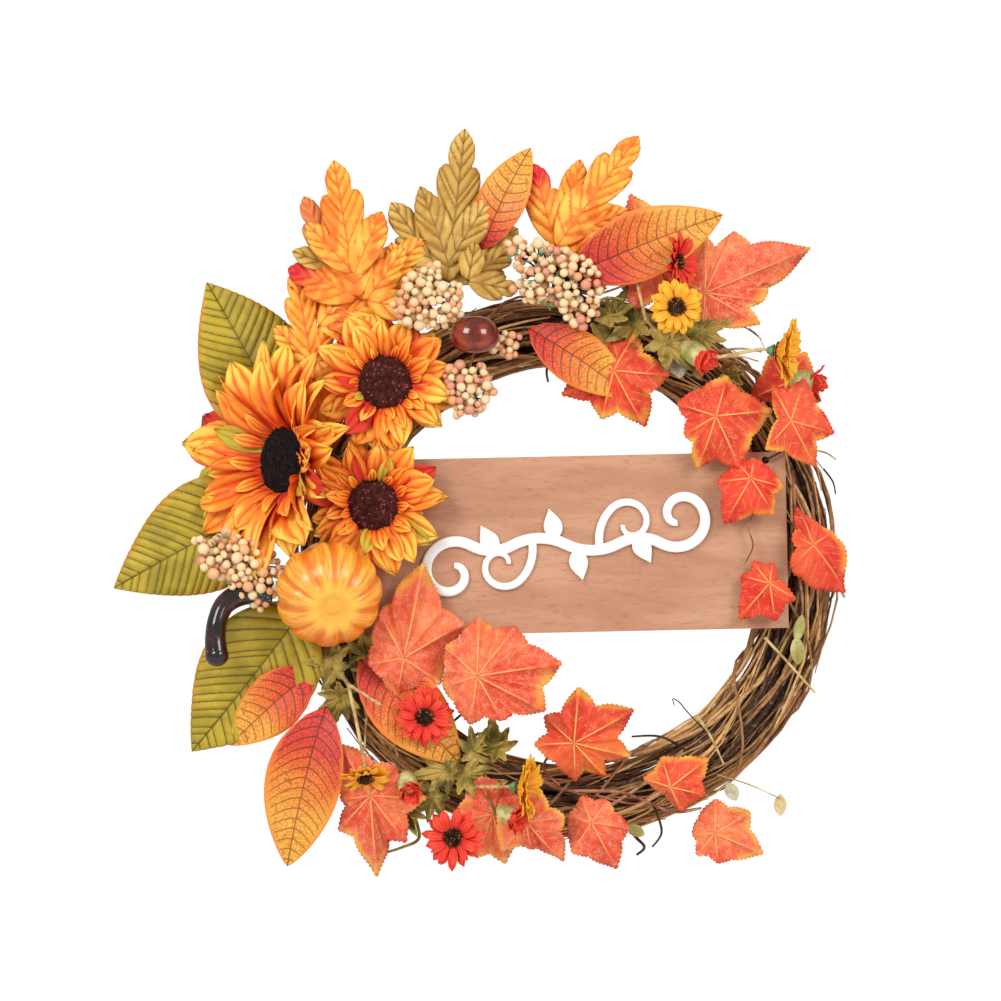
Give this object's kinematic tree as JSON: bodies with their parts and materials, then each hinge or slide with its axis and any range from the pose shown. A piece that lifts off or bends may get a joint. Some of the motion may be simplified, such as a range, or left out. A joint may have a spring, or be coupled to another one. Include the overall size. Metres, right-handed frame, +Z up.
{
  "type": "door wreath",
  "caption": "Twisted vine ring wreath with a hanging plywood sign and artificial sunflowers, daisies, autumn leaves, berries and a small pumpkin; hangs by a wire loop.",
  "frame": {"origin": "the point inside the top of the wire hanging loop that rests on the door hook", "axes": "+Z up, +Y back towards the door, -Y the decorated front, +X to the viewer's right"},
  "size_m": [0.4602, 0.116, 0.4699],
  "materials": {
    "vine": "dry grapevine twigs, matt bark",
    "wire": "dark annealed craft wire",
    "plywood": "bare tan plywood, fine streaky grain",
    "white_paint": "white painted thin board, matt",
    "yellow_petal": "dyed polyester petals, orange-red at the base to yellow tips",
    "red_petal": "dyed polyester petals, bright red",
    "seed_brown": "flocked fibre seed disc",
    "pumpkin_skin": "painted foam, yellow and orange streaks, satin",
    "glossy_brown": "glossy dark brown lacquered foam",
    "berry_skin": "painted foam berries, cream to peach, satin",
    "broad_green": "embossed stiffened fabric, olive",
    "carved_orange": "deeply ridged stiffened fabric, orange and red",
    "carved_khaki": "deeply ridged stiffened fabric, khaki and brown",
    "printed_orange": "printed polyester leaf with dark vein mesh",
    "maple_red": "printed polyester leaf, coral red with yellow edges",
    "stem_green": "moulded plastic over wire, tan green"
  },
  "bodies": {
    "wreath": {"vine_strand_1": "vine", "vine_strand_2": "vine", "vine_strand_3": "vine", "binding_vine": "vine", "sign_tie_left": "wire", "sign_tie_right": "wire", "broad_leaf_1": "broad_green", "broad_leaf_2": "broad_green", "broad_leaf_3": "broad_green", "carved_leaf_1": "carved_orange", "carved_leaf_3": "carved_orange", "carved_leaf_5": "carved_orange", "carved_leaf_2": "carved_khaki", "carved_leaf_4": "carved_khaki", "printed_leaf_1": "printed_orange", "printed_leaf_2": "printed_orange", "printed_leaf_3": "printed_orange", "printed_leaf_4": "printed_orange", "printed_leaf_5": "printed_orange", "printed_leaf_6": "printed_orange", "maple_leaf_1": "maple_red", "maple_leaf_2": "maple_red", "maple_leaf_3": "maple_red", "maple_leaf_4": "maple_red", "maple_leaf_5": "maple_red", "maple_leaf_6": "maple_red", "maple_leaf_7": "maple_red", "maple_leaf_8": "maple_red", "maple_leaf_9": "maple_red", "maple_leaf_10": "maple_red", "maple_leaf_11": "maple_red", "maple_leaf_12": "maple_red", "maple_leaf_13": "maple_red", "maple_leaf_14": "maple_red", "sunflower_1_petals": "yellow_petal", "sunflower_2_petals": "yellow_petal", "sunflower_3_petals": "yellow_petal", "sunflower_1_disc": "seed_brown", "sunflower_2_disc": "seed_brown", "sunflower_3_disc": "seed_brown", "pumpkin": "pumpkin_skin", "pumpkin_stem": "glossy_brown", "chestnut": "glossy_brown", "berry_cluster_1": "berry_skin", "berry_cluster_2": "berry_skin", "berry_cluster_3": "berry_skin", "berry_cluster_4": "berry_skin", "top_spray_stem": "stem_green", "left_spray_stem": "stem_green", "bottom_spray_stem": "stem_green"},
    "sign": {"sign_board": "plywood", "sign_flourish": "white_paint"},
    "hanger": {"hanger_loop": "wire"},
    "daisy_1_head": {"daisy_1": "red_petal"},
    "daisy_2_head": {"daisy_2": "yellow_petal"},
    "daisy_3_head": {"daisy_3": "yellow_petal"},
    "daisy_4_head": {"daisy_4": "yellow_petal"},
    "daisy_5_head": {"daisy_5": "red_petal"},
    "daisy_6_head": {"daisy_6": "red_petal"},
    "daisy_7_head": {"daisy_7": "yellow_petal"}
  },
  "joints": [
    {"name": "sign_swing", "type": "hinge", "parent": "wreath", "child": "sign", "pos_m": [-0.00106, -0.04124, -0.122], "axis": [-0.9998, 0, -0.0209], "range_deg": [0, 3]},
    {"name": "hanger_swing", "type": "hinge", "parent": "wreath", "child": "hanger", "pos_m": [0, -0.01337, -0.03674], "axis": [-1, 0, 0], "range_deg": [0, 75]},
    {"name": "daisy_1_spin", "type": "hinge", "parent": "wreath", "child": "daisy_1_head", "pos_m": [0.067, -0.05984, 0.00526], "axis": [0.853, -0.5219, 0], "continuous": true},
    {"name": "daisy_2_spin", "type": "hinge", "parent": "wreath", "child": "daisy_2_head", "pos_m": [0.068, -0.07784, -0.02424], "axis": [0.0994, -0.9938, 0.0497], "continuous": true},
    {"name": "daisy_3_spin", "type": "hinge", "parent": "wreath", "child": "daisy_3_head", "pos_m": [0.13, -0.06484, -0.05074], "axis": [0.9621, -0.2532, -0.1013], "continuous": true},
    {"name": "daisy_4_spin", "type": "hinge", "parent": "wreath", "child": "daisy_4_head", "pos_m": [-0.126, -0.06984, -0.31524], "axis": [0.0999, -0.5496, -0.8294], "continuous": true},
    {"name": "daisy_5_spin", "type": "hinge", "parent": "wreath", "child": "daisy_5_head", "pos_m": [-0.09, -0.06184, -0.28074], "axis": [0.204, -0.979, 0], "continuous": true},
    {"name": "daisy_6_spin", "type": "hinge", "parent": "wreath", "child": "daisy_6_head", "pos_m": [-0.07, -0.05584, -0.35674], "axis": [-0.2545, -0.9671, 0], "continuous": true},
    {"name": "daisy_7_spin", "type": "hinge", "parent": "wreath", "child": "daisy_7_head", "pos_m": [-0.032, -0.06284, -0.32474], "axis": [0.9536, -0.3011, 0], "continuous": true}
  ]
}
